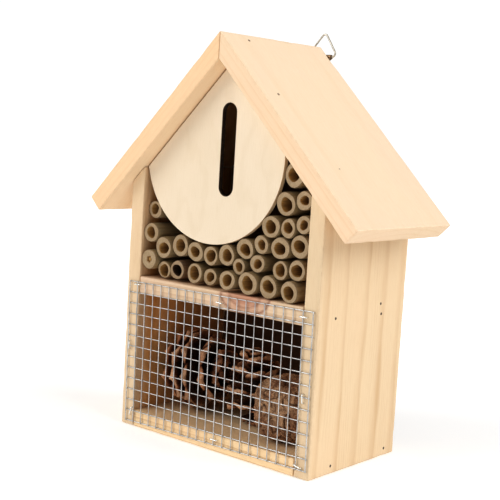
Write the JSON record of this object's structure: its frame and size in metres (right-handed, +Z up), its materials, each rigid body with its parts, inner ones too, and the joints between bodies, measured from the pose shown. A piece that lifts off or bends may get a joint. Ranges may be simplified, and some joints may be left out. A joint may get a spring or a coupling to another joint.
{
  "type": "insect hotel",
  "caption": "Small wooden insect hotel with a pitched overhanging roof, hollow canes stacked around a slotted round panel, and cones and bark behind a wire mesh.",
  "frame": {"origin": "centre of the underside of the wooden body, on the surface it stands on", "axes": "+Z up to the ridge, +X to the right seen from the front, -Y out of the open front, +Y to the flat back"},
  "size_m": [0.192, 0.0932, 0.2363],
  "materials": {
    "pine": "bare planed pine, pale and dry",
    "plywood": "thin bare plywood with scorched cut edges",
    "hardboard": "thin dark hardboard",
    "cane": "sawn bamboo, pale at the cut and olive brown outside",
    "dark_cane": "weathered dark brown bamboo",
    "galvanised_wire": "bright galvanised wire",
    "nail_steel": "dull plain steel",
    "cone_scale": "dry open scales with paler tips",
    "bark": "rough flaking bark",
    "bronzed_strap": "darkened brass plate",
    "ring_wire": "zinc-plated wire"
  },
  "bodies": {
    "house": {"floor_board": "pine", "shelf_board": "pine", "side_left": "pine", "side_right": "pine", "roof_left": "pine", "roof_right": "pine", "back_panel": "hardboard", "gable_panel": "plywood", "cane_a1": "cane", "cane_a2": "cane", "cane_a3": "dark_cane", "cane_a4": "cane", "cane_a5": "cane", "cane_a6": "cane", "cane_a7": "cane", "cane_a8": "cane", "cane_a9": "cane", "cane_b1": "cane", "cane_b2": "cane", "cane_b3": "cane", "cane_b4": "cane", "cane_b5": "cane", "cane_b6": "cane", "cane_b7": "cane", "cane_b8": "cane", "cane_b9": "cane", "cane_b10": "cane", "cane_b11": "cane", "cane_b12": "cane", "cane_b13": "cane", "cane_b14": "cane", "cane_c1": "cane", "cane_c2": "cane", "cane_c3": "cane", "cane_c4": "cane", "cane_c5": "cane", "cane_c6": "cane", "cane_c7": "cane", "wire_mesh": "galvanised_wire", "staples": "galvanised_wire", "wall_nails": "nail_steel", "roof_nails": "nail_steel", "pine_cone_large": "cone_scale", "pine_cone_small": "cone_scale", "bark_chunk": "bark", "hanger_strap": "bronzed_strap", "hanger_screw": "bronzed_strap"},
    "ring": {"hanging_ring": "ring_wire"}
  },
  "joints": [
    {"name": "ring_swing", "type": "hinge", "parent": "house", "child": "ring", "pos_m": [0, 0.042, 0.2224], "axis": [-1, 0, 0], "range_deg": [-67, 165]}
  ]
}
